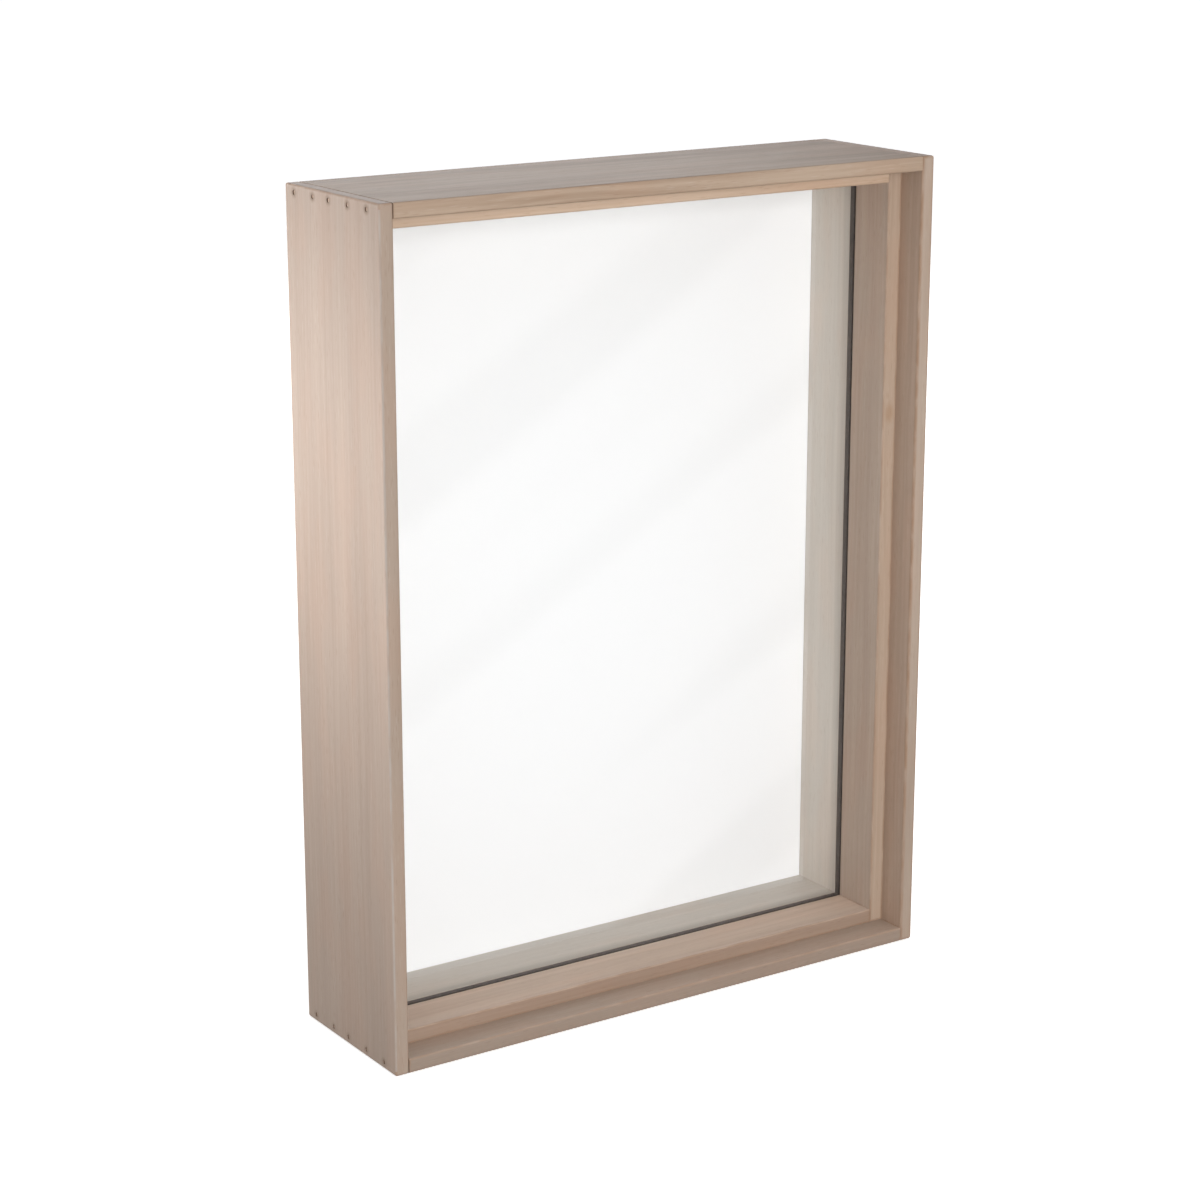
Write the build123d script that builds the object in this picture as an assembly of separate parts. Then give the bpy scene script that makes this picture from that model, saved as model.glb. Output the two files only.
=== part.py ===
from build123d import *
import math
import os

# A deep wooden shadow box. Sizes are in millimetres.
# Seen from the front, +X is to the right and +Z is up, and the front faces -Y.
# The origin is at the bottom, in the middle of the whole object's width and depth.

# Carcass: two full-height side boards with a top and a bottom board nailed between them
INSIDE_WIDTH = 305.0
INSIDE_HEIGHT = 406.0
BOARD = 7.5
BOX_DEPTH = 89.0
BOARD_EASE = 1.2

# Layers behind the front edge, as distances from it
LINER_FRONT = 16.5
GLASS_FRONT = 43.5
GLASS = 2.0
GASKET = 3.0
DISPLAY_FRONT = 80.5
DISPLAY_BOARD = 5.0
BACK_PANEL = 3.2

# Strips that line the inside, and the room round the panes
SIDE_LINER = 8.0
END_LINER = 7.0
LINER_EASE = 1.0
SPACER_EASE = 0.3
GASKET_SETBACK = 0.3
GLASS_ROOM = 1.0
PANEL_ROOM = 0.75

# Brads, driven a little below the surface
NAIL_DEPTHS = (11.5, 29.0, 47.0, 62.0, 80.0)
NAIL_RADIUS = 0.75
NAIL_HEAD_RADIUS = 1.1
NAIL_HEAD = 0.6
NAIL_SET = 0.5
NAIL_LENGTH = 25.0
NAIL_POINT = 2.0
NAIL_TIP_RADIUS = 0.12

# Turn buttons and the screws that they pivot on
BUTTON = 1.2
BUTTON_EASE = 0.35
BUTTON_PIVOT_RADIUS = 3.2
BUTTON_TAIL_RADIUS = 2.7
BUTTON_REACH = 17.0
BUTTON_GAP = 0.15
BUTTON_HEIGHT = 90.0
PIVOT_INSET = 4.3
RIB_LENGTH = 8.0
RIB_WIDTH = 1.6
RIB = 0.4
RIB_START = 3.6
SCREW_RADIUS = 1.25
SCREW_CLEARANCE = 0.08
SCREW_LENGTH = 14.0
SCREW_HEAD_RADIUS = 2.2
SCREW_HEAD = 1.3
HEAD_EASE = 0.9
HEAD_GAP = 0.1
RECESS_LENGTH = 2.4
RECESS_WIDTH = 0.55
RECESS_DEPTH = 0.8

# D-ring hangers, riveted to the back panel
HANGER_X = 110.0
HANGER_Z = 352.0
PLATE = 0.8
PLATE_WIDTH = 9.0
PLATE_LENGTH = 18.0
PLATE_CORNER = 3.9
LOOP_RADIUS = 1.55
LOOP_OFFSET = 1.95
RING_WIRE = 0.75
RING_RADIUS = 7.25
RING_STRAIGHT = 1.5
RING_CLEARANCE = 0.08
RIVET_DROP = 13.2
RIVET_RADIUS = 1.5
RIVET_HEAD_RADIUS = 2.75
RIVET_HEAD = 1.1
RIVET_EASE = 0.88
RIVET_FLANGE_RADIUS = 2.6
RIVET_FLANGE = 0.5
POCKET_RADIUS = 3.2
POCKET = 0.7

# Rubber dots that keep the bottom edge off the wall
BUMPER_RADIUS = 3.0
BUMPER_INSET = 12.0
BUMPER_EASE = 0.8

# How far a cutting tool runs past the face that it starts from
OVERCUT = 1.0

# Worked out from the above
WIDTH = INSIDE_WIDTH + 2 * BOARD
HEIGHT = INSIDE_HEIGHT + 2 * BOARD
GASKET_FRONT = GLASS_FRONT + GLASS
SPACER_FRONT = GASKET_FRONT + GASKET
PANEL_FRONT = DISPLAY_FRONT + DISPLAY_BOARD
PANEL_BACK = PANEL_FRONT + BACK_PANEL
OVERALL_DEPTH = PANEL_BACK + LOOP_OFFSET + LOOP_RADIUS
BUMPER = OVERALL_DEPTH - BOX_DEPTH
PIVOT_X = WIDTH / 2 - PIVOT_INSET
BUMPER_X = INSIDE_WIDTH / 2 - BUMPER_INSET


def from_front(distance):
    """Y of a plane that lies this far behind the front edge."""
    return distance - OVERALL_DEPTH / 2


def block(x, depth, z):
    """A box between pairs of limits, with its depth measured from the front edge."""
    size = Box(x[1] - x[0], depth[1] - depth[0], z[1] - z[0])
    middle = (sum(x) / 2, from_front(sum(depth) / 2), sum(z) / 2)
    return Pos(*middle) * size


def rod(radius, start, end):
    """A cylinder between two points."""
    line = Vector(*end) - Vector(*start)
    middle = (Vector(*start) + Vector(*end)) / 2
    return Plane(middle, z_dir=line) * Cylinder(radius, line.length)


def eased(solid, radius, *directions):
    """Rounds the edges that run along the given directions."""
    edges = [edge for direction in directions for edge in solid.edges().filter_by(direction)]
    return fillet(edges, radius)


# Carcass

def side_board(side):
    """A full-height board; side is -1 for the left and 1 for the right."""
    x = sorted((side * INSIDE_WIDTH / 2, side * WIDTH / 2))
    board = block(x, (0, BOX_DEPTH), (0, HEIGHT))
    return eased(board, BOARD_EASE, Axis.X, Axis.Y, Axis.Z)


def end_board(z):
    """The top or the bottom board, between the side boards."""
    board = block((-INSIDE_WIDTH / 2, INSIDE_WIDTH / 2), (0, BOX_DEPTH), z)
    return eased(board, BOARD_EASE, Axis.X)


def nail(side, depth, z):
    """A brad through a side board into the end grain of the board behind it."""
    def at(distance):
        return (side * (WIDTH / 2 - distance), from_front(depth), z)

    head = rod(NAIL_HEAD_RADIUS, at(NAIL_SET), at(NAIL_SET + NAIL_HEAD))
    shank = rod(NAIL_RADIUS, at(NAIL_SET + NAIL_HEAD), at(NAIL_LENGTH - NAIL_POINT))
    point_plane = Plane(at(NAIL_LENGTH - NAIL_POINT / 2), z_dir=(-side, 0, 0))
    point = point_plane * Cone(NAIL_RADIUS, NAIL_TIP_RADIUS, NAIL_POINT)
    return head + shank + point


def nail_row(side, z):
    return [nail(side, depth, z) for depth in NAIL_DEPTHS]


def nail_mouths(side, z):
    """The short open holes that the sunk heads leave in a side board's face."""
    for depth in NAIL_DEPTHS:
        outside = (side * (WIDTH / 2 + OVERCUT), from_front(depth), z)
        seat = (side * (WIDTH / 2 - NAIL_SET), from_front(depth), z)
        yield rod(NAIL_HEAD_RADIUS, outside, seat)


# Linings

def inner_eased(strip, radius, along, inward):
    """Rounds a strip's two inner long edges, which are the furthest ones along an inward axis."""
    return fillet(strip.edges().filter_by(along).group_by(inward)[-1], radius)


def side_strip(side, depth, thickness, ease):
    """A strip against a side board, from the bottom board to the top board."""
    inner = INSIDE_WIDTH / 2 - thickness
    x = sorted((side * inner, side * INSIDE_WIDTH / 2))
    strip = block(x, depth, (BOARD, BOARD + INSIDE_HEIGHT))
    inward = Axis((0, 0, 0), (-side, 0, 0))
    return inner_eased(strip, ease, Axis.Z, inward) if ease else strip


def end_strip(top, depth, thickness, side_thickness, ease):
    """A strip against the top or the bottom board, between the two side strips."""
    half = INSIDE_WIDTH / 2 - side_thickness
    low = HEIGHT - BOARD - thickness if top else BOARD
    strip = block((-half, half), depth, (low, low + thickness))
    inward = Axis((0, 0, 0), (0, 0, -1 if top else 1))
    return inner_eased(strip, ease, Axis.X, inward) if ease else strip


def lining(name, depth, side_thickness, end_thickness, ease):
    """The four strips of one layer, with their node names."""
    return {
        f"left_{name}": side_strip(-1, depth, side_thickness, ease),
        f"right_{name}": side_strip(1, depth, side_thickness, ease),
        f"top_{name}": end_strip(True, depth, end_thickness, side_thickness, ease),
        f"bottom_{name}": end_strip(False, depth, end_thickness, side_thickness, ease),
    }


def pane(depth, room):
    """A flat pane that fills the inside of the carcass, less the room round it."""
    half = INSIDE_WIDTH / 2 - room
    return block((-half, half), depth, (BOARD + room, BOARD + INSIDE_HEIGHT - room))


# Turn buttons

def turn_button(x, z, angle):
    """A flat button whose tail points along the angle, counted from +X towards +Z."""
    pivot = Circle(BUTTON_PIVOT_RADIUS)
    tail = Pos(BUTTON_REACH - BUTTON_TAIL_RADIUS, 0) * Circle(BUTTON_TAIL_RADIUS)
    outline = make_hull(pivot.edges() + tail.edges())
    body = extrude(outline, BUTTON)
    body = fillet(body.edges().group_by(Axis.Z)[-1], BUTTON_EASE)
    rib = extrude(SlotOverall(RIB_LENGTH, RIB_WIDTH), RIB)
    body += Pos(RIB_START + RIB_LENGTH / 2, 0, BUTTON) * rib
    body -= Cylinder(SCREW_RADIUS + SCREW_CLEARANCE, 4 * BUTTON)
    turn = math.radians(angle)
    x_dir = (math.cos(turn), 0, math.sin(turn))
    back = from_front(BOX_DEPTH + BUTTON_GAP)
    return Plane((x, back, z), x_dir=x_dir, z_dir=(0, 1, 0)) * body


def button_screw(x, z):
    """A cross-head screw through a turn button into the back edge of a board."""
    head_depth = BOX_DEPTH + BUTTON_GAP + BUTTON + HEAD_GAP
    head = extrude(Circle(SCREW_HEAD_RADIUS), SCREW_HEAD)
    head = fillet(head.edges().group_by(Axis.Z)[-1], HEAD_EASE)
    cross = Box(RECESS_LENGTH, RECESS_WIDTH, 2 * RECESS_DEPTH)
    cross += Box(RECESS_WIDTH, RECESS_LENGTH, 2 * RECESS_DEPTH)
    head -= Pos(0, 0, SCREW_HEAD) * cross
    head = Plane((x, from_front(head_depth), z), x_dir=(1, 0, 0), z_dir=(0, 1, 0)) * head
    tip = (x, from_front(head_depth - SCREW_LENGTH), z)
    return head + rod(SCREW_RADIUS, (x, from_front(head_depth), z), tip)


# Where each button pivots, and the way its tail points at rest, in over the back panel
BUTTONS = {
    "turn_button_left_upper": (-PIVOT_X, HEIGHT - BUTTON_HEIGHT, 0),
    "turn_button_left_lower": (-PIVOT_X, BUTTON_HEIGHT, 0),
    "turn_button_right_upper": (PIVOT_X, HEIGHT - BUTTON_HEIGHT, 180),
    "turn_button_right_lower": (PIVOT_X, BUTTON_HEIGHT, 180),
    "turn_button_top": (0, HEIGHT - PIVOT_INSET, -90),
    "turn_button_bottom": (0, PIVOT_INSET, 90),
}


# Hangers

def hanger_plate(x):
    """A strap folded round the ring's bar, with its lower end riveted to the panel."""
    bar_y = from_front(PANEL_BACK + LOOP_OFFSET)
    ends = ((x - PLATE_WIDTH / 2, bar_y, HANGER_Z), (x + PLATE_WIDTH / 2, bar_y, HANGER_Z))
    x_limits = (x - PLATE_WIDTH / 2, x + PLATE_WIDTH / 2)
    depth = (PANEL_BACK, PANEL_BACK + PLATE)
    strap = block(x_limits, depth, (HANGER_Z - PLATE_LENGTH, HANGER_Z))
    lower_corners = strap.edges().filter_by(Axis.Y).group_by(Axis.Z)[0]
    strap = fillet(lower_corners, PLATE_CORNER)
    plate = strap + rod(LOOP_RADIUS, *ends) - rod(RING_WIRE + RING_CLEARANCE, *ends)
    return plate - rivet(x)


def hanger_ring(x):
    """A D-ring that hangs from its straight bar."""
    half = RING_RADIUS
    bend_z = -RING_STRAIGHT
    ring = rod(RING_WIRE, (-half, 0, 0), (half, 0, 0))
    arc = CenterArc((0, 0), RING_RADIUS, 180, 180)
    path = Plane((0, 0, bend_z), x_dir=(1, 0, 0), z_dir=(0, -1, 0)) * arc
    section = Plane((-half, 0, bend_z), z_dir=(0, 0, 1)) * Circle(RING_WIRE)
    ring += sweep(section, path)
    for corner in (-half, half):
        ring += rod(RING_WIRE, (corner, 0, 0), (corner, 0, bend_z))
        ring += Pos(corner, 0, 0) * Sphere(RING_WIRE)
    return Pos(x, from_front(PANEL_BACK + LOOP_OFFSET), HANGER_Z) * ring


def rivet(x):
    """A tubular rivet: a domed head on the plate and a flange inside the panel."""
    z = HANGER_Z - RIVET_DROP

    def at(depth):
        return (x, from_front(depth), z)

    head = extrude(Circle(RIVET_HEAD_RADIUS), RIVET_HEAD)
    head = fillet(head.edges().group_by(Axis.Z)[-1], RIVET_EASE)
    head = Plane(at(PANEL_BACK + PLATE), x_dir=(1, 0, 0), z_dir=(0, 1, 0)) * head
    inside = PANEL_FRONT + POCKET
    shank = rod(RIVET_RADIUS, at(inside), at(PANEL_BACK + PLATE))
    flange = rod(RIVET_FLANGE_RADIUS, at(inside - RIVET_FLANGE), at(inside))
    return head + shank + flange


def back_panel():
    """The hardboard back, with a pocket for the flange of each rivet."""
    panel = pane((PANEL_FRONT, PANEL_BACK), PANEL_ROOM)
    for side in (-1, 1):
        start = (side * HANGER_X, from_front(PANEL_FRONT - OVERCUT), HANGER_Z - RIVET_DROP)
        end = (side * HANGER_X, from_front(PANEL_FRONT + POCKET), HANGER_Z - RIVET_DROP)
        panel -= rod(POCKET_RADIUS, start, end)
        panel -= rivet(side * HANGER_X)
    return panel


def wall_bumper(x):
    """A rubber dot on the back edge of the bottom board."""
    dot = extrude(Circle(BUMPER_RADIUS), BUMPER)
    dot = fillet(dot.edges().group_by(Axis.Z)[-1], BUMPER_EASE)
    face = Plane((x, from_front(BOX_DEPTH), BOARD / 2), x_dir=(1, 0, 0), z_dir=(0, 1, 0))
    return face * dot


def assembly():
    """Every node's solids, by node name."""
    low, high = BOARD / 2, HEIGHT - BOARD / 2
    nails = {
        "nails_top_left": nail_row(-1, high),
        "nails_top_right": nail_row(1, high),
        "nails_bottom_left": nail_row(-1, low),
        "nails_bottom_right": nail_row(1, low),
    }
    screws = [button_screw(x, z) for x, z, _ in BUTTONS.values()]
    boards = {
        "left_side_board": side_board(-1),
        "right_side_board": side_board(1),
        "top_board": end_board((HEIGHT - BOARD, HEIGHT)),
        "bottom_board": end_board((0, BOARD)),
    }
    fixings = [piece for row in nails.values() for piece in row] + screws
    for side, name in ((-1, "left_side_board"), (1, "right_side_board")):
        for z in (low, high):
            for mouth in nail_mouths(side, z):
                boards[name] -= mouth
    for name in boards:
        for fixing in fixings:
            boards[name] -= fixing

    nodes = dict(boards)
    nodes.update(nails)
    nodes.update(lining("liner", (LINER_FRONT, GLASS_FRONT), SIDE_LINER, END_LINER, LINER_EASE))
    gasket_side = SIDE_LINER - GASKET_SETBACK
    gasket_end = END_LINER - GASKET_SETBACK
    nodes.update(lining("gasket", (GASKET_FRONT, SPACER_FRONT), gasket_side, gasket_end, 0))
    spacer_depth = (SPACER_FRONT, DISPLAY_FRONT)
    nodes.update(lining("spacer", spacer_depth, SIDE_LINER, END_LINER, SPACER_EASE))
    nodes["glass_pane"] = pane((GLASS_FRONT, GLASS_FRONT + GLASS), GLASS_ROOM)
    nodes["display_board"] = pane((DISPLAY_FRONT, PANEL_FRONT), PANEL_ROOM)
    nodes["back_panel"] = back_panel()
    for name, (x, z, angle) in BUTTONS.items():
        nodes[name] = turn_button(x, z, angle)
    nodes["turn_button_screws"] = screws
    nodes["hanger_plate_left"] = hanger_plate(-HANGER_X)
    nodes["hanger_plate_right"] = hanger_plate(HANGER_X)
    nodes["hanger_ring_left"] = hanger_ring(-HANGER_X)
    nodes["hanger_ring_right"] = hanger_ring(HANGER_X)
    nodes["hanger_rivets"] = [rivet(-HANGER_X), rivet(HANGER_X)]
    nodes["wall_bumpers"] = [wall_bumper(-BUMPER_X), wall_bumper(BUMPER_X)]
    return nodes


os.makedirs("parts", exist_ok=True)
for node, shape in assembly().items():
    solids = shape if isinstance(shape, list) else [shape]
    whole = solids[0] if len(solids) == 1 else Compound(children=solids)
    export_step(whole, f"parts/{node}.step")
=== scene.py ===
# A shadow box of limed wood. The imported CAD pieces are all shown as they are; this script gives
# each its material, and sets the floor, the lamps and the camera round them.

import math
import random
from types import SimpleNamespace

import bmesh
import bpy
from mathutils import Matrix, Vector

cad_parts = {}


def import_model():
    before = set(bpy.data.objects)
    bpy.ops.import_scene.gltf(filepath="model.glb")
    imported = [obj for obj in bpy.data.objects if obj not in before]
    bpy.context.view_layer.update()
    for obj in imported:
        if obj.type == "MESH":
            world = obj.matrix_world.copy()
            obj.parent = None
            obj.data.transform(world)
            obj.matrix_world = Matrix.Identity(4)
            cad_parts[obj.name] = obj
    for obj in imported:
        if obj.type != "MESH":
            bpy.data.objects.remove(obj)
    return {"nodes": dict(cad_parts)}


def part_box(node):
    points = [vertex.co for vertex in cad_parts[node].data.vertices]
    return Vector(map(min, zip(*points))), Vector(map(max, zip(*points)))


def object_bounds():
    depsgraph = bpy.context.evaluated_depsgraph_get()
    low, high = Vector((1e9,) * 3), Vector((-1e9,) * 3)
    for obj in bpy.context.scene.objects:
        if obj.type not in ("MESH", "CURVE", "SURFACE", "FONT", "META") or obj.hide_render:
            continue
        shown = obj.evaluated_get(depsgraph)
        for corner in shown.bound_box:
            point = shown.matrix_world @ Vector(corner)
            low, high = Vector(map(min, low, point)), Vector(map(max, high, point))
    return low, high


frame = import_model()
cad_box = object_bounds()
nodes = frame["nodes"]

MM = 0.001

# Camera: turned towards the object's left side and looking a little down at it
VIEW_TURN = math.radians(33.7)
VIEW_DROP = math.radians(15.5)
VIEW_DISTANCE = 1.483
AIM_RIGHT = -0.0093
AIM_UP = -0.0068
LENS = 88.2

# Stage: the paper looks white to the camera but throws back less light than white would
SKY_LIGHT = 0.55
SKY_SEEN = 1.05
FLOOR_RADIUS = 40.0
FLOOR_SEEN = (0.96, 0.96, 0.957, 1.0)
FLOOR_BOUNCE = (0.50, 0.495, 0.485, 1.0)
FLOOR_GLOW = 0.50

# Glare card, in front of the glass and to its right, where the camera's mirrored view goes
GLARE_PLACE = (0.42, -0.62, 0.03)
GLARE_SIZE = (1.1, 1.0)
GLARE_SLANT = math.radians(30)
GLARE_BANDS = (0.9, 1.0, 8.5)
GLARE_RANGE = (0.45, 1.40)
GLARE_COLOUR = (0.97, 0.98, 1.0, 1.0)

# Wood colours, linear
SIDE_WOOD = ((0.440, 0.345, 0.283), (0.352, 0.266, 0.212))
END_WOOD = ((0.450, 0.340, 0.255), (0.330, 0.230, 0.160))
LINER_WOOD = ((0.490, 0.385, 0.312), (0.390, 0.290, 0.226))
SPACER_WOOD = ((0.690, 0.642, 0.583), (0.578, 0.529, 0.470))
# Worn edges, darkened further with painted shade where eased edges turn from the light
ARRIS_WEAR_AND_SHADE = (0.290, 0.180, 0.115, 1.0)
# Painted highlight on the outer long edges of a board
ARRIS_HIGHLIGHT = (0.450, 0.410, 0.380, 1.0)
BRAD_BROWN = (0.190, 0.125, 0.085, 1.0)
LIME_WHITE = (0.640, 0.600, 0.560, 1.0)

# Tints that multiply the wood's colour
PATCH_TINT = (1.06, 0.985, 0.95)
PORE_TINT = (0.58, 0.47, 0.40)
END_GRAIN_TINT = (0.42, 0.41, 0.42)
# Painted shade where a strip meets what is in front of it
CONTACT_SHADE_TINT = (0.42, 0.41, 0.40)
KNOT_TINT = (0.80, 0.64, 0.49)

# Tints on single faces, most of them painted light and shade: the axis and sign they face, and
# their tint
# Painted shade that darkens the side boards' front edges
FRONT_EDGE_PAINTED_SHADE = ("Y", -1, (0.92, 0.92, 0.90))
# Painted shade that darkens the side boards' upward ends
TOP_END_PAINTED_SHADE = ("Z", 1, (0.86, 0.84, 0.83))
LEFT_INSIDE = ("X", 1, (0.96, 0.92, 0.90))
# Painted light on the right board's inside face, with a warmer tone
RIGHT_INSIDE_PAINTED_LIGHT = ("X", -1, (1.04, 0.99, 0.94))
# Painted shade that darkens and greys the top board's upper face
TOP_PAINTED_SHADE = ("Z", 1, (0.548, 0.526, 0.515))
# Painted shade that darkens the bottom board's front
BOTTOM_FRONT_PAINTED_SHADE = ("Y", -1, (0.735, 0.73, 0.72))
# Painted shade that darkens the bottom liner's front
LEDGE_FRONT_PAINTED_SHADE = ("Y", -1, (0.61, 0.565, 0.53))
GOLDEN_FRONT = ("Y", -1, (0.94, 0.91, 0.86))

# Wood structure, in millimetres
RING_SPACING = 2.6
FIBRE_WIDTH = 0.30
FIBRE_LENGTH = 16.0
PORE_PITCH = 0.85
PORE_LENGTH = 11.0
FILLED_PORE_PITCH = 0.68
FILLED_PORE_LENGTH = 14.0
FILLED_PORE_SHIFT = (31, 17, 0)
ALONG_THE_TREE = (500, 5000)
ARRIS_WIDTH = 1.3
# How far behind a strip's front its painted shade reaches
CONTACT_SHADE_REACH = 8.0
BRAD_GAP = 3.0
RIGHT_LINER_KNOT = (0, -13, 77, 3.5)

# How far each part of the figure moves the wood from pale to deep
TONE_SHARES = {"late": 0.26, "years": 0.60, "fibres": 0.42, "streaks": 0.90, "drift": 1.80}
PATCH_AMOUNT = 0.5
PORE_AMOUNT = 0.34
LIME_AMOUNT = 0.16
END_GRAIN_AMOUNT = 0.55
KNOT_AMOUNT = 0.5
STAIN_AMOUNT = 0.68
FOOT_STAIN = 0.45

# Colours of the other materials, linear
FOAM = ((0.050, 0.043, 0.040, 1.0), (0.095, 0.082, 0.075, 1.0))
GLASS_CLEAR = (0.985, 0.988, 0.986, 1.0)
BOARD_PULP = ((0.925, 0.932, 0.945, 1.0), (0.955, 0.962, 0.973, 1.0))
BOARD_SHADE = (0.90, 0.91, 0.92, 1.0)
HARDBOARD_PALE = (0.270, 0.165, 0.096, 1.0)
HARDBOARD_DEEP = (0.160, 0.092, 0.051, 1.0)
HARDBOARD_HAIR = (0.370, 0.250, 0.160, 1.0)
RUBBER = ((0.028, 0.028, 0.030, 1.0), (0.055, 0.055, 0.057, 1.0))
ZINC = ((0.62, 0.63, 0.64, 1.0), (0.47, 0.48, 0.50, 1.0))
SCREW_STEEL = ((0.60, 0.60, 0.60, 1.0), (0.44, 0.44, 0.45, 1.0))
NICKEL_PLATE = ((0.72, 0.69, 0.64, 1.0), (0.58, 0.55, 0.50, 1.0))
NICKEL_WIRE = ((0.74, 0.71, 0.66, 1.0), (0.60, 0.57, 0.52, 1.0))
RIVET_STEEL = ((0.66, 0.65, 0.63, 1.0), (0.50, 0.49, 0.47, 1.0))
NAIL_STEEL = ((0.54, 0.41, 0.33, 1.0), (0.36, 0.26, 0.20, 1.0))


# Node helpers

def put(tree, kind, inputs=(), **settings):
    """Adds a node, sets its options, and fills its inputs with values or sockets."""
    node = tree.nodes.new(kind)
    for key, value in settings.items():
        setattr(node, key, value)
    pairs = inputs.items() if isinstance(inputs, dict) else enumerate(inputs)
    for key, value in pairs:
        if isinstance(value, bpy.types.NodeSocket):
            tree.links.new(value, node.inputs[key])
        elif value is not None:
            node.inputs[key].default_value = value
    return node


def maths(tree, operation, *values, clamp=False):
    """A sum on plain values."""
    return put(tree, "ShaderNodeMath", values, operation=operation, use_clamp=clamp).outputs[0]


def vector(tree, operation, *values):
    """A sum on vectors."""
    node = put(tree, "ShaderNodeVectorMath", values, operation=operation)
    return node.outputs["Value" if operation == "LENGTH" else "Vector"]


def scaled(tree, value, factor):
    """A vector made longer by a factor."""
    inputs = {0: value, "Scale": factor}
    return put(tree, "ShaderNodeVectorMath", inputs, operation="SCALE").outputs[0]


def separate(tree, value):
    """The three parts of a vector."""
    return put(tree, "ShaderNodeSeparateXYZ", (value,)).outputs


def mix(tree, factor, a, b, blend="MIX"):
    """A mix of two colours."""
    inputs = {0: factor, 6: a, 7: b}
    settings = {"data_type": "RGBA", "blend_type": blend, "clamp_factor": True}
    return put(tree, "ShaderNodeMix", inputs, **settings).outputs[2]


def tinted(tree, colour, mask, amount, tint):
    """The colour multiplied by a tint where the mask is 1, in the given amount."""
    return mix(tree, maths(tree, "MULTIPLY", mask, amount), colour, (*tint, 1.0), "MULTIPLY")


def remap(tree, value, low, high, to_low=0.0, to_high=1.0):
    """A value taken smoothly from one range to another."""
    inputs = (value, low, high, to_low, to_high)
    return put(tree, "ShaderNodeMapRange", inputs, interpolation_type="SMOOTHSTEP").outputs[0]


def noise(tree, place, scale=1.0, detail=2.0, roughness=0.5, colour=False):
    """Cloudy noise, as one value or as a colour."""
    inputs = {"Vector": place, "Scale": scale, "Detail": detail, "Roughness": roughness}
    return put(tree, "ShaderNodeTexNoise", inputs).outputs["Color" if colour else "Fac"]


def cells(tree, place, scale=1.0):
    """The distance to the nearest of a scatter of points."""
    return put(tree, "ShaderNodeTexVoronoi", {"Vector": place, "Scale": scale}).outputs["Distance"]


def new_material(name):
    """A material with an empty tree but for its shader and output."""
    material = bpy.data.materials.new(name)
    material.use_nodes = True
    tree = material.node_tree
    tree.nodes.clear()
    shader = tree.nodes.new("ShaderNodeBsdfPrincipled")
    output = tree.nodes.new("ShaderNodeOutputMaterial")
    tree.links.new(shader.outputs[0], output.inputs["Surface"])
    return material, tree, shader


def show_blend(tree, factor, a, b):
    """Makes the material's surface a blend of two shaders."""
    output = next(n for n in tree.nodes if n.bl_idname == "ShaderNodeOutputMaterial")
    blend = put(tree, "ShaderNodeMixShader", (factor, a, b))
    tree.links.new(blend.outputs[0], output.inputs["Surface"])


def place_mm(tree):
    """The surface point in the piece's own coordinates, in millimetres."""
    return scaled(tree, tree.nodes.new("ShaderNodeTexCoord").outputs["Object"], 1 / MM)


def bumped(tree, shader, height, strength, distance):
    """Gives the shader a relief; distance is the height's full range in metres."""
    inputs = {"Height": height, "Strength": strength, "Distance": distance}
    bump = put(tree, "ShaderNodeBump", inputs)
    tree.links.new(bump.outputs[0], shader.inputs["Normal"])


def wear(material, *names):
    """Gives these CAD nodes the material."""
    for name in names:
        for slot in nodes[name].material_slots:
            slot.material = material


# Places on a wooden piece

def node_middle(node):
    """The middle of a node's box, in millimetres."""
    low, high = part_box(node)
    return Vector([(a + b) / 2 / MM for a, b in zip(low, high)])


def turned_to_grain(tree, place, grain):
    """The same place with the grain direction as its third coordinate."""
    parts = separate(tree, place)
    order = {"X": (1, 2, 0), "Z": (0, 1, 2)}[grain]
    return put(tree, "ShaderNodeCombineXYZ", [parts[i] for i in order]).outputs[0]


def face_mask(tree, axis, sign=0):
    """1 on the faces square to an axis, only those that face along the sign if it isn't 0."""
    normal = tree.nodes.new("ShaderNodeTexCoord").outputs["Normal"]
    part = separate(tree, normal)["XYZ".index(axis)]
    part = maths(tree, "MULTIPLY", part, sign) if sign else maths(tree, "ABSOLUTE", part)
    return remap(tree, part, 0.75, 0.97)


def edge_distance(tree, node, place):
    """Millimetres from the nearest edge of the node's box, measured on its surface."""
    low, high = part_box(node)
    half = [(b - a) / 2 / MM for a, b in zip(low, high)]
    offset = vector(tree, "ABSOLUTE", vector(tree, "SUBTRACT", place, node_middle(node)))
    x, y, z = separate(tree, vector(tree, "SUBTRACT", half, offset))
    smaller = maths(tree, "MINIMUM", x, y)
    larger = maths(tree, "MAXIMUM", x, y)
    return maths(tree, "MAXIMUM", smaller, maths(tree, "MINIMUM", larger, z))


def outer_long_arris(tree, node, place):
    """1 on the outer half of an upright board, short of its two ends: where the painted arris
    highlight goes.
    """
    middle = node_middle(node)
    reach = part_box(node)[1][2] / MM - middle.z - 2 * ARRIS_WIDTH
    x, _, z = separate(tree, vector(tree, "SUBTRACT", place, (0, 0, middle.z)))
    outside = maths(tree, "GREATER_THAN", maths(tree, "ABSOLUTE", x), abs(middle.x))
    between_ends = maths(tree, "LESS_THAN", maths(tree, "ABSOLUTE", z), reach)
    return maths(tree, "MULTIPLY", outside, between_ends)


# What wood is made of

def drawn_out(tree, wood, width, length, **settings):
    """Noise drawn out along the grain; width and length are the size of its blots."""
    squashed = vector(tree, "MULTIPLY", wood, (1 / width, 1 / width, 1 / length))
    return noise(tree, squashed, **settings)


def wander(tree, wood, width, length, reach):
    """A sideways shift across the grain that changes slowly along the board."""
    cloud = drawn_out(tree, wood, width, length, detail=2, colour=True)
    either_way = vector(tree, "SUBTRACT", cloud, (0.5, 0.5, 0.5))
    return vector(tree, "MULTIPLY", either_way, (reach, reach, 0))


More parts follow.
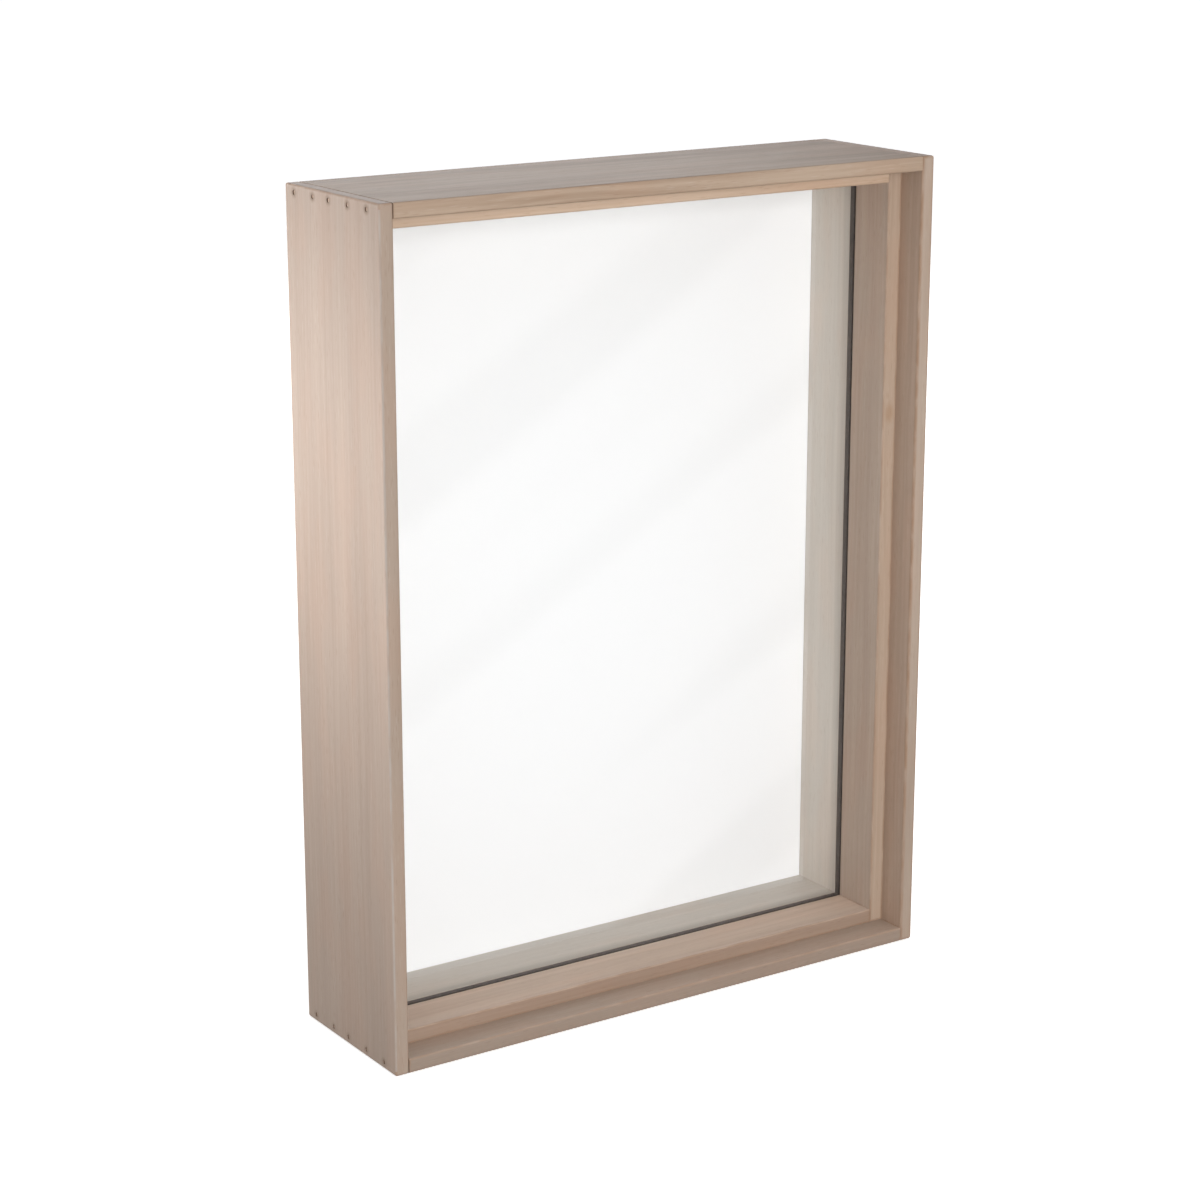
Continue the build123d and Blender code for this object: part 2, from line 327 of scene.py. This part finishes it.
def growth_rings(tree, wood, pith):
    """The late wood of each ring, from 0 to 1, and the strength of its year."""
    bent = vector(tree, "ADD", wood, wander(tree, wood, 55, 260, 18))
    bent = vector(tree, "ADD", bent, wander(tree, wood, 7, 60, 1.8))
    flat = vector(tree, "MULTIPLY", vector(tree, "SUBTRACT", bent, (*pith, 0)), (1, 1, 0))
    radius = maths(tree, "DIVIDE", vector(tree, "LENGTH", flat), RING_SPACING)
    across = put(tree, "ShaderNodeCombineXYZ", (radius,)).outputs[0]
    years = noise(tree, across, 0.45, 3, 0.6)
    squeeze = maths(tree, "MULTIPLY", noise(tree, across, 0.9, 1), 1.6)
    ring = maths(tree, "FRACT", maths(tree, "ADD", radius, squeeze))
    thickening = remap(tree, ring, 0.0, 0.80)
    ending = remap(tree, ring, 0.82, 1.0, 1.0, 0.0)
    late = maths(tree, "MULTIPLY", thickening, ending)
    return maths(tree, "MULTIPLY", late, remap(tree, years, 0.35, 0.65, 0.15, 1.0)), years


def pore_ticks(tree, wood, late, pitch, length):
    """Open pores as short ticks along the grain, thickest in the early wood."""
    place = vector(tree, "MULTIPLY", wood, (1 / pitch, 1 / pitch, 1 / length))
    ticks = remap(tree, cells(tree, place), 0.06, 0.26, 1.0, 0.0)
    return maths(tree, "MULTIPLY", ticks, remap(tree, late, 0.1, 0.75, 1.0, 0.12))


def wood_figure(tree, wood, pith):
    """Everything that varies inside the wood, each part from 0 to 1."""
    late, years = growth_rings(tree, wood, pith)
    beside = vector(tree, "ADD", wood, FILLED_PORE_SHIFT)
    return SimpleNamespace(
        late=late,
        years=years,
        fibres=drawn_out(tree, wood, FIBRE_WIDTH, FIBRE_LENGTH, detail=3, roughness=0.6),
        streaks=drawn_out(tree, wood, 2.2, 120, detail=3, roughness=0.55),
        drift=drawn_out(tree, wood, 19, 240, detail=2),
        patches=drawn_out(tree, wood, 16, 60, detail=2),
        open_pores=pore_ticks(tree, wood, late, PORE_PITCH, PORE_LENGTH),
        filled_pores=pore_ticks(tree, beside, late, FILLED_PORE_PITCH, FILLED_PORE_LENGTH),
    )


def wood_colour(tree, figure, pale, deep, contrast):
    """The wood between its two colours, with its patches, pores and lime."""
    tone = 0.5
    for part, share in TONE_SHARES.items():
        swing = maths(tree, "SUBTRACT", getattr(figure, part), 0.5)
        tone = maths(tree, "ADD", maths(tree, "MULTIPLY", swing, share * contrast), tone)
    colour = mix(tree, maths(tree, "ADD", tone, 0.0, clamp=True), pale, deep)
    colour = tinted(tree, colour, remap(tree, figure.patches, 0.42, 0.66), PATCH_AMOUNT, PATCH_TINT)
    colour = tinted(tree, colour, figure.open_pores, PORE_AMOUNT, PORE_TINT)
    return mix(tree, maths(tree, "MULTIPLY", figure.filled_pores, LIME_AMOUNT), colour, LIME_WHITE)


# What has happened to the wood's surface

def knot_heart(tree, centred, knot):
    """1 at the heart of a small knot, fading to 0 at its rim; knot is its place and radius."""
    *middle, radius = knot
    offset = vector(tree, "MULTIPLY", vector(tree, "SUBTRACT", centred, middle), (1, 1, 0.5))
    ragged = maths(tree, "ADD", vector(tree, "LENGTH", offset), noise(tree, centred, 0.8, 3))
    return remap(tree, ragged, 0.4 * radius, radius + 1, 1.0, 0.0)


def painted_shade_behind_front(tree, node, place):
    """Where painted shade goes: 1 at the front of the node, fading to 0 over the first few
    millimetres of its depth.
    """
    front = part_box(node)[0][1] / MM
    return remap(tree, separate(tree, place)[1], front, front + CONTACT_SHADE_REACH, 1.0, 0.0)


def brad_places(row):
    """The middle of each brad in a row, in millimetres across the board's depth."""
    depths = sorted({vertex.co.y / MM for vertex in nodes[row].data.vertices})
    groups = [[depths[0]]]
    for depth in depths[1:]:
        if depth - groups[-1][-1] > BRAD_GAP:
            groups.append([])
        groups[-1].append(depth)
    return [(group[0] + group[-1]) / 2 for group in groups]


def brad_stain(tree, board, row, place):
    """Rust out of the brad holes at a board's two ends, fainter at its foot; row is the top one."""
    middle = node_middle(board).z
    height = abs(node_middle(row).z - middle)
    _, y, z = separate(tree, vector(tree, "SUBTRACT", place, (0, 0, middle)))
    rise = maths(tree, "SUBTRACT", maths(tree, "ABSOLUTE", z), height)
    nearest = 100.0
    for depth in brad_places(row):
        away = (maths(tree, "SUBTRACT", y, depth), rise)
        away = put(tree, "ShaderNodeCombineXYZ", away).outputs[0]
        nearest = maths(tree, "MINIMUM", nearest, vector(tree, "LENGTH", away))
    ragged = maths(tree, "ADD", nearest, maths(tree, "MULTIPLY", noise(tree, place, 0.9, 3), 1.6))
    stain = remap(tree, ragged, 1.8, 4.2, 1.0, 0.0)
    return maths(tree, "MULTIPLY", stain, remap(tree, z, -1, 1, FOOT_STAIN, 1.0))


def edge_wear_and_shade(tree, node, place, wood, width):
    """How far the edges are worn through to bare wood and darkened with painted shade, unevenly
    along them.
    """
    uneven = drawn_out(tree, wood, 3, 14, detail=3)
    near = remap(tree, edge_distance(tree, node, place), 0.15, width, 1.0, 0.0)
    return maths(tree, "MULTIPLY", near, remap(tree, uneven, 0.3, 0.62, 0.3, 1.0))


def wood_surface(tree, shader, figure, worn_and_shaded):
    """Gloss and relief: the pores are sunk and dull, and worn edges are a little smoother."""
    polish = remap(tree, figure.fibres, 0.2, 0.8, 0.54, 0.68)
    polish = maths(tree, "ADD", polish, maths(tree, "MULTIPLY", worn_and_shaded, -0.08))
    polish = maths(tree, "ADD", polish, maths(tree, "MULTIPLY", figure.open_pores, 0.15))
    tree.links.new(polish, shader.inputs["Roughness"])
    shader.inputs["Specular IOR Level"].default_value = 0.35
    height = maths(tree, "MULTIPLY", figure.fibres, 0.50)
    height = maths(tree, "SUBTRACT", height, maths(tree, "MULTIPLY", figure.open_pores, 0.50))
    height = maths(tree, "ADD", height, maths(tree, "MULTIPLY", figure.late, 0.22))
    bumped(tree, shader, height, 0.55, 0.09 * MM)


def limed_wood(
    node,
    grain,
    colours,
    pith,
    shade=1.0,
    contrast=1.0,
    arris=0.75,
    arris_width=ARRIS_WIDTH,
    painted_arris_highlight=False,
    faces=(),
    knot=None,
    brads=None,
    painted_front_shade=0.0,
):
    """Pale limed wood for one board, cut from its own place in the tree.

    grain is the axis the grain runs along, and pith is where the tree's centre line passes,
    in millimetres from the board's middle, in the two directions across the grain. shade
    darkens or lightens the whole board, and contrast its figure. arris is how much the edges
    are worn and darkened: real wear, and painted shade on the eased edges; a painted highlight
    can be switched on for the two long edges away from the middle of the box. faces are tints
    on single faces, most of them painted light and shade. brads is the top row of brads that
    stains the board, and the front shade is how much painted shade darkens it where it meets
    what is in front."""
    material, tree, shader = new_material(f"limed_oak.{node}")
    place = place_mm(tree)
    centred = turned_to_grain(tree, vector(tree, "SUBTRACT", place, node_middle(node)), grain)
    wood = vector(tree, "ADD", centred, (0, 0, random.Random(node).uniform(*ALONG_THE_TREE)))
    figure = wood_figure(tree, wood, pith)
    pale, deep = [(*(shade * part for part in colour), 1.0) for colour in colours]
    colour = wood_colour(tree, figure, pale, deep, contrast)

    colour = tinted(tree, colour, face_mask(tree, grain), END_GRAIN_AMOUNT, END_GRAIN_TINT)
    for axis, sign, tint in faces:
        colour = tinted(tree, colour, face_mask(tree, axis, sign), 1.0, tint)
    if knot:
        colour = tinted(tree, colour, knot_heart(tree, centred, knot), KNOT_AMOUNT, KNOT_TINT)
    # Painted shade where the board meets what is in front of it
    if painted_front_shade:
        front_shade_mask = painted_shade_behind_front(tree, node, place)
        colour = tinted(tree, colour, front_shade_mask, painted_front_shade, CONTACT_SHADE_TINT)
    if brads:
        stain = brad_stain(tree, node, brads, place)
        colour = mix(tree, maths(tree, "MULTIPLY", stain, STAIN_AMOUNT), colour, BRAD_BROWN)

    # Edges worn to bare wood and darkened with painted shade
    worn_and_shaded = edge_wear_and_shade(tree, node, place, wood, arris_width)
    arris_colour = ARRIS_WEAR_AND_SHADE
    # Painted highlight on the outer long edges, where switched on
    if painted_arris_highlight:
        outer = outer_long_arris(tree, node, place)
        arris_colour = mix(tree, outer, ARRIS_WEAR_AND_SHADE, ARRIS_HIGHLIGHT)
    colour = mix(tree, maths(tree, "MULTIPLY", worn_and_shaded, arris), colour, arris_colour)
    tree.links.new(colour, shader.inputs["Base Color"])
    wood_surface(tree, shader, figure, worn_and_shaded)
    wear(material, node)


def side_boards():
    """The two upright boards, with the brads' rust at their ends."""
    # The left board carries a painted highlight on its outer long edges
    limed_wood(
        "left_side_board", "Z", SIDE_WOOD, (-35, -150),
        shade=0.93,
        contrast=0.75,
        painted_arris_highlight=True,
        faces=[LEFT_INSIDE, FRONT_EDGE_PAINTED_SHADE, TOP_END_PAINTED_SHADE],
        brads="nails_top_left",
    )
    # The right board's wider dark edges: wear with painted shade
    limed_wood(
        "right_side_board", "Z", SIDE_WOOD, (45, -135),
        shade=1.03,
        contrast=0.85,
        arris=1.0,
        arris_width=2.0,
        faces=[RIGHT_INSIDE_PAINTED_LIGHT, FRONT_EDGE_PAINTED_SHADE, TOP_END_PAINTED_SHADE],
        brads="nails_top_right",
    )


def end_boards():
    """The top and bottom boards."""
    # Painted shade darkens the top board's upper face
    limed_wood(
        "top_board", "X", END_WOOD, (20, 38),
        shade=0.92,
        contrast=1.5,
        arris=0.3,
        faces=[TOP_PAINTED_SHADE],
    )
    # Painted shade darkens the bottom board's front
    limed_wood(
        "bottom_board", "X", LINER_WOOD, (-60, -90),
        shade=0.88,
        contrast=0.6,
        faces=[BOTTOM_FRONT_PAINTED_SHADE],
    )


def liners():
    """The strips in front of the glass."""
    limed_wood("left_liner", "Z", LINER_WOOD, (-60, 40), shade=0.97)
    limed_wood(
        "right_liner", "Z", LINER_WOOD, (70, 55),
        shade=0.97,
        faces=[GOLDEN_FRONT],
        knot=RIGHT_LINER_KNOT,
    )
    # Top liner: painted lighter in place of the shade that the top board casts on it
    limed_wood("top_liner", "X", END_WOOD, (-20, 36), shade=1.28, arris=0.3)
    # Bottom liner: painted light lifts it all over and painted shade takes its front back down, so
    # its top face is lighter than its front
    limed_wood("bottom_liner", "X", LINER_WOOD, (45, -70), shade=1.18, faces=[LEDGE_FRONT_PAINTED_SHADE])


def spacers():
    """The grey-beige strips behind the glass, with painted shade where the gasket lies on them."""
    strips = (
        ("left_spacer", "Z", (-70, 60), 1.0),
        ("right_spacer", "Z", (60, 70), 1.0),
        ("top_spacer", "X", (-50, 80), 1.0),
        ("bottom_spacer", "X", (50, 80), 0.83),
    )
    for node, grain, pith, shade in strips:
        limed_wood(
            node, grain, SPACER_WOOD, pith,
            shade=shade,
            contrast=0.8,
            arris=0.2,
            painted_front_shade=0.45,
        )


# Other materials

def foam():
    """Black closed-cell foam."""
    material, tree, shader = new_material("gasket_foam")
    place = place_mm(tree)
    bubbles = cells(tree, place, 3.2)
    colour = mix(tree, noise(tree, place, 0.4, 3), *FOAM)
    tree.links.new(colour, shader.inputs["Base Color"])
    tree.links.new(remap(tree, bubbles, 0.0, 0.6, 0.95, 0.75), shader.inputs["Roughness"])
    bumped(tree, shader, bubbles, 0.8, 0.15 * MM)
    wear(material, "left_gasket", "right_gasket", "top_gasket", "bottom_gasket")


def glass():
    """Clear picture glass that lets lamps through to what is behind it."""
    material, tree, shader = new_material("clear_glass")
    shader.inputs["Base Color"].default_value = (1.0, 1.0, 1.0, 1.0)
    shader.inputs["Transmission Weight"].default_value = 1.0
    shader.inputs["IOR"].default_value = 1.5
    film = noise(tree, place_mm(tree), 1 / 40, 4)
    tree.links.new(remap(tree, film, 0.3, 0.7, 0.0, 0.03), shader.inputs["Roughness"])
    path = tree.nodes.new("ShaderNodeLightPath").outputs
    through = maths(tree, "MAXIMUM", path["Is Shadow Ray"], path["Is Diffuse Ray"])
    clear = put(tree, "ShaderNodeBsdfTransparent", (GLASS_CLEAR,))
    show_blend(tree, through, shader.outputs[0], clear.outputs[0])
    wear(material, "glass_pane")


def white_board():
    """Smooth white mounting board."""
    material, tree, shader = new_material("white_board")
    place = place_mm(tree)
    pulp = noise(tree, place, 1 / 0.6, 4, 0.6)
    drift = noise(tree, place, 1 / 60, 2)
    colour = mix(tree, pulp, *BOARD_PULP)
    colour = mix(tree, maths(tree, "MULTIPLY", drift, 0.05), colour, BOARD_SHADE)
    tree.links.new(colour, shader.inputs["Base Color"])
    tree.links.new(remap(tree, pulp, 0.2, 0.8, 0.62, 0.78), shader.inputs["Roughness"])
    shader.inputs["Specular IOR Level"].default_value = 0.3
    bumped(tree, shader, pulp, 0.25, 0.05 * MM)
    wear(material, "display_board")


def hardboard():
    """Brown pressed fibreboard: fine pulp with stray hairs lying every way."""
    material, tree, shader = new_material("hardboard")
    place = place_mm(tree)
    pulp = noise(tree, place, 1 / 0.9, 4, 0.65)
    clumps = noise(tree, place, 1 / 3.5, 3, 0.6)
    drift = noise(tree, place, 1 / 70, 3)
    curl = scaled(tree, noise(tree, place, 1 / 6, 2, colour=True), 9.0)
    bent = vector(tree, "ADD", place, curl)
    level_hairs = noise(tree, vector(tree, "MULTIPLY", bent, (0.28, 1.0, 3.4)), 1.0, 2, 0.5)
    upright_hairs = noise(tree, vector(tree, "MULTIPLY", bent, (3.4, 1.0, 0.28)), 1.0, 2, 0.5)
    hairs = maths(tree, "MAXIMUM", level_hairs, upright_hairs)
    fine = maths(tree, "MULTIPLY", pulp, 0.6)
    tone = maths(tree, "ADD", fine, maths(tree, "MULTIPLY", clumps, 0.4))
    colour = mix(tree, remap(tree, tone, 0.34, 0.66), HARDBOARD_DEEP, HARDBOARD_PALE)
    colour = mix(tree, remap(tree, hairs, 0.62, 0.78, 0.0, 0.55), colour, HARDBOARD_HAIR)
    colour = mix(tree, maths(tree, "MULTIPLY", drift, 0.40), colour, HARDBOARD_DEEP)
    tree.links.new(colour, shader.inputs["Base Color"])
    tree.links.new(remap(tree, tone, 0.25, 0.75, 0.42, 0.60), shader.inputs["Roughness"])
    relief = maths(tree, "ADD", tone, maths(tree, "MULTIPLY", hairs, 0.5))
    bumped(tree, shader, relief, 0.35, 0.07 * MM)
    wear(material, "back_panel")


def metal(name, colours, rough, spangle, names):
    """Plated steel with a clouded finish and fine scratches; spangle is how fine the clouds are."""
    material, tree, shader = new_material(name)
    place = place_mm(tree)
    cloud = noise(tree, place, spangle, 4, 0.6)
    scratches = noise(tree, vector(tree, "MULTIPLY", place, (9.0, 1.0, 1.2)), 1.0, 3)
    colour = mix(tree, remap(tree, cloud, 0.3, 0.7), *colours)
    tree.links.new(colour, shader.inputs["Base Color"])
    shader.inputs["Metallic"].default_value = 1.0
    roughness = remap(tree, cloud, 0.25, 0.75, rough, rough + 0.16)
    tree.links.new(roughness, shader.inputs["Roughness"])
    bumped(tree, shader, maths(tree, "ADD", scratches, cloud), 0.25, 0.02 * MM)
    wear(material, *names)


def metals():
    """The brads, and the turn buttons and hangers with their fixings."""
    screws = "turn_button_screws"
    buttons = [name for name in nodes if name.startswith("turn_button") and name != screws]
    nails = [name for name in nodes if name.startswith("nails_")]
    metal("zinc_plate", ZINC, 0.30, 0.9, buttons)
    metal("screw_steel", SCREW_STEEL, 0.25, 1.2, [screws])
    metal("nickel_plate", NICKEL_PLATE, 0.20, 0.6, ["hanger_plate_left", "hanger_plate_right"])
    metal("nickel_wire", NICKEL_WIRE, 0.16, 0.8, ["hanger_ring_left", "hanger_ring_right"])
    metal("rivet_steel", RIVET_STEEL, 0.24, 1.0, ["hanger_rivets"])
    metal("nail_steel", NAIL_STEEL, 0.55, 1.5, nails)


def bumper_rubber():
    """Grey-black moulded rubber."""
    material, tree, shader = new_material("bumper_rubber")
    grain = noise(tree, place_mm(tree), 4.0, 3)
    tree.links.new(mix(tree, grain, *RUBBER), shader.inputs["Base Color"])
    tree.links.new(remap(tree, grain, 0.2, 0.8, 0.55, 0.75), shader.inputs["Roughness"])
    bumped(tree, shader, grain, 0.3, 0.04 * MM)
    wear(material, "wall_bumpers")


# Stage, lights and camera

def floor():
    """A wide disc of white paper."""
    mesh = bpy.data.meshes.new("floor")
    shape = bmesh.new()
    bmesh.ops.create_circle(shape, cap_ends=True, segments=96, radius=FLOOR_RADIUS)
    shape.to_mesh(mesh)
    shape.free()
    disc = bpy.data.objects.new("floor", mesh)
    bpy.context.scene.collection.objects.link(disc)
    disc.visible_glossy = False
    material, tree, shader = new_material("floor_paper")
    seen = tree.nodes.new("ShaderNodeLightPath").outputs["Is Camera Ray"]
    tree.links.new(mix(tree, seen, FLOOR_BOUNCE, FLOOR_SEEN), shader.inputs["Base Color"])
    shader.inputs["Emission Color"].default_value = (1.0, 1.0, 1.0, 1.0)
    glow = maths(tree, "MULTIPLY", seen, FLOOR_GLOW)
    tree.links.new(glow, shader.inputs["Emission Strength"])
    shader.inputs["Roughness"].default_value = 0.9
    shader.inputs["Specular IOR Level"].default_value = 0.1
    mesh.materials.append(material)


def world():
    """An even white surround."""
    sky = bpy.data.worlds.new("studio")
    sky.use_nodes = True
    tree = sky.node_tree
    background = next(n for n in tree.nodes if n.bl_idname == "ShaderNodeBackground")
    background.inputs["Color"].default_value = (1.0, 1.0, 1.0, 1.0)
    seen = tree.nodes.new("ShaderNodeLightPath").outputs["Is Camera Ray"]
    strength = remap(tree, seen, 0.0, 1.0, SKY_LIGHT, SKY_SEEN)
    tree.links.new(strength, background.inputs["Strength"])
    bpy.context.scene.world = sky


def glare_bands(tree, place):
    """How bright the glare card is: bands that slope across it."""
    inputs = {"Vector": place, "Angle": GLARE_SLANT}
    slanted = put(tree, "ShaderNodeVectorRotate", inputs, rotation_type="Y_AXIS").outputs[0]
    bands = noise(tree, vector(tree, "MULTIPLY", slanted, GLARE_BANDS), detail=1, roughness=0.4)
    return remap(tree, bands, 0.37, 0.53, *GLARE_RANGE)


def window_glare():
    """What the glass mirrors: a bright card with slanting bands, seen in reflections only."""
    width, height = GLARE_SIZE
    around = ((-1, -1), (1, -1), (1, 1), (-1, 1))
    corners = [(x * width / 2, 0, z * height / 2) for x, z in around]
    mesh = bpy.data.meshes.new("glare")
    mesh.from_pydata(corners, [], [(0, 1, 2, 3)])
    card = bpy.data.objects.new("glare", mesh)
    card.location = GLARE_PLACE
    bpy.context.scene.collection.objects.link(card)
    card.visible_camera = False
    card.visible_diffuse = False
    card.visible_transmission = False
    card.visible_shadow = False

    material, tree, shader = new_material("glare")
    tree.nodes.remove(shader)
    place = tree.nodes.new("ShaderNodeTexCoord").outputs["Object"]
    bright = glare_bands(tree, place)
    x, _, z = separate(tree, vector(tree, "ABSOLUTE", place))
    inward = remap(tree, x, 0.35 * width, 0.5 * width, 1.0, 0.0)
    upward = remap(tree, z, 0.35 * height, 0.5 * height, 1.0, 0.0)
    glow = put(tree, "ShaderNodeEmission", {"Color": GLARE_COLOUR, "Strength": bright})
    clear = tree.nodes.new("ShaderNodeBsdfTransparent")
    show_blend(tree, maths(tree, "MULTIPLY", inward, upward), clear.outputs[0], glow.outputs[0])
    mesh.materials.append(material)


def softbox(name, place, target, side, power, spread=180, mirrored=True):
    """A soft square lamp that the camera doesn't see, nor reflections unless it is mirrored."""
    data = bpy.data.lights.new(name, "AREA")
    data.shape = "SQUARE"
    data.size = side
    data.energy = power
    data.spread = math.radians(spread)
    lamp = bpy.data.objects.new(name, data)
    lamp.location = place
    lamp.rotation_euler = (Vector(target) - Vector(place)).to_track_quat("-Z", "Y").to_euler()
    lamp.visible_camera = False
    lamp.visible_glossy = mirrored
    lamp.visible_transmission = mirrored
    bpy.context.scene.collection.objects.link(lamp)


def lamps():
    """The studio's lamps: places in metres, power in watts, spread in degrees."""
    softbox("overhead", (0.2, -0.2, 2.4), (0, 0, 0.2), side=1.8, power=6.5)
    softbox("front", (-0.35, -1.70, 0.38), (0, 0, 0.22), side=1.1, power=25.0, mirrored=False)
    softbox("left", (-0.50, 0.40, 0.42), (-0.16, 0.06, 0.305), side=0.25, power=0.31, spread=37)
    softbox("left_fill", (-0.75, 0.4, 0.03), (-0.16, 0, 0.08), side=0.3, power=2.4)
    softbox("behind", (0.9, 1.9, 1.0), (0, 0, 0.2), side=1.2, power=16)


def camera():
    """The camera, aimed a little beside the middle of the object."""
    data = bpy.data.cameras.new("camera")
    data.lens = LENS
    eye = bpy.data.objects.new("camera", data)
    forward = Vector((
        math.sin(VIEW_TURN) * math.cos(VIEW_DROP),
        math.cos(VIEW_TURN) * math.cos(VIEW_DROP),
        -math.sin(VIEW_DROP),
    ))
    right = Vector((math.cos(VIEW_TURN), -math.sin(VIEW_TURN), 0))
    middle = (Vector(cad_box[0]) + Vector(cad_box[1])) / 2
    aim = middle + AIM_RIGHT * right + AIM_UP * right.cross(forward)
    eye.location = aim - VIEW_DISTANCE * forward
    eye.rotation_euler = (math.pi / 2 - VIEW_DROP, 0, -VIEW_TURN)
    bpy.context.scene.collection.objects.link(eye)
    bpy.context.scene.camera = eye


camera()
floor()
window_glare()
world()
lamps()
bpy.context.scene.view_settings.view_transform = "Standard"
side_boards()
end_boards()
liners()
spacers()
foam()
glass()
white_board()
hardboard()
metals()
bumper_rubber()
